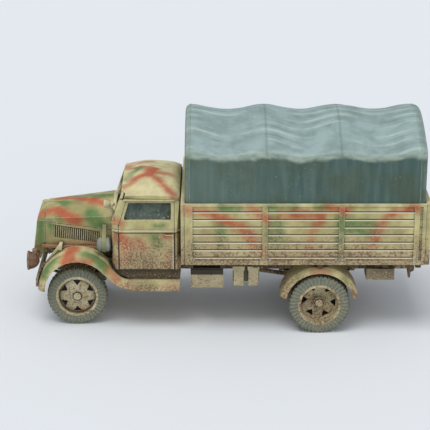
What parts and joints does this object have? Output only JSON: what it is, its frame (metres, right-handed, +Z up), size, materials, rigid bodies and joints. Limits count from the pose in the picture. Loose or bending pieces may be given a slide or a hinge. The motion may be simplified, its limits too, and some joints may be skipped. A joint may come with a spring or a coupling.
{
  "type": "scale model military cargo truck",
  "caption": "Plastic scale model of a military cargo truck with a camouflage-painted cab, a boarded bed, a canvas tilt and wheels that turn.",
  "frame": {"origin": "on the ground under the centre of the bounding box", "axes": "+X forward, +Y to the truck's left, +Z up"},
  "size_m": [0.082, 0.0318, 0.044],
  "materials": {
    "camouflage_paint": "matt dark yellow with green and red-brown patches, mud and worn edges",
    "canvas": "matt blue-grey, cast cloth with dry-brushed folds",
    "tyre_rubber": "matt dark grey with dust",
    "window": "dusty clear plastic",
    "dark_running_gear": "matt dark brown with mud"
  },
  "bodies": {
    "truck": {"air_cleaner": "camouflage_paint", "air_cleaner_strap": "camouflage_paint", "bed_bearers": "camouflage_paint", "bed_floor": "camouflage_paint", "bed_side_left": "camouflage_paint", "bed_side_right": "camouflage_paint", "bed_sills": "camouflage_paint", "bumper": "camouflage_paint", "cab_door_left": "camouflage_paint", "cab_door_right": "camouflage_paint", "cab_floor": "camouflage_paint", "cab_glass": "window", "cab_rear_wall": "camouflage_paint", "cab_roof": "camouflage_paint", "canister_rack": "camouflage_paint", "canvas_tilt": "canvas", "chassis_frame": "dark_running_gear", "cowl": "camouflage_paint", "dashboard": "dark_running_gear", "engine_and_gearbox": "dark_running_gear", "exhaust": "dark_running_gear", "fender_stays": "camouflage_paint", "front_axle": "dark_running_gear", "front_fender_left": "camouflage_paint", "front_fender_right": "camouflage_paint", "grille": "dark_running_gear", "headboard": "camouflage_paint", "headlight_left": "camouflage_paint", "headlight_right": "camouflage_paint", "hood": "camouflage_paint", "hood_side_left": "camouflage_paint", "hood_side_right": "camouflage_paint", "leaf_springs": "dark_running_gear", "propeller_shaft": "dark_running_gear", "radiator_shell": "camouflage_paint", "rear_axle": "dark_running_gear", "rear_box": "camouflage_paint", "rear_fender_left": "camouflage_paint", "rear_fender_right": "camouflage_paint", "running_board_left": "camouflage_paint", "running_board_right": "camouflage_paint", "seat": "dark_running_gear", "side_lamps": "camouflage_paint", "steering_linkage": "dark_running_gear", "steering_wheel": "dark_running_gear", "tail_bracket": "camouflage_paint", "tailgate": "camouflage_paint", "tool_boxes": "camouflage_paint", "tow_hook": "camouflage_paint", "windscreen_frame": "camouflage_paint"},
    "wheel_assembly_front_left": {"tyre_front_left": "tyre_rubber", "wheel_front_left": "camouflage_paint"},
    "wheel_assembly_front_right": {"tyre_front_right": "tyre_rubber", "wheel_front_right": "camouflage_paint"},
    "wheel_assembly_rear_left": {"tyre_rear_outer_left": "tyre_rubber", "tyre_rear_inner_left": "tyre_rubber", "wheel_rear_left": "camouflage_paint"},
    "wheel_assembly_rear_right": {"tyre_rear_outer_right": "tyre_rubber", "tyre_rear_inner_right": "tyre_rubber", "wheel_rear_right": "camouflage_paint"}
  },
  "joints": [
    {"name": "front_left_spin", "type": "hinge", "parent": "truck", "child": "wheel_assembly_front_left", "pos_m": [0.03095, 0.0095, 0.00625], "axis": [0, 1, 0], "continuous": true},
    {"name": "front_right_spin", "type": "hinge", "parent": "truck", "child": "wheel_assembly_front_right", "pos_m": [0.03095, -0.0095, 0.00625], "axis": [0, 1, 0], "continuous": true},
    {"name": "rear_left_spin", "type": "hinge", "parent": "truck", "child": "wheel_assembly_rear_left", "pos_m": [-0.01905, 0.0125, 0.00625], "axis": [0, 1, 0], "continuous": true},
    {"name": "rear_right_spin", "type": "hinge", "parent": "truck", "child": "wheel_assembly_rear_right", "pos_m": [-0.01905, -0.0125, 0.00625], "axis": [0, 1, 0], "continuous": true}
  ]
}
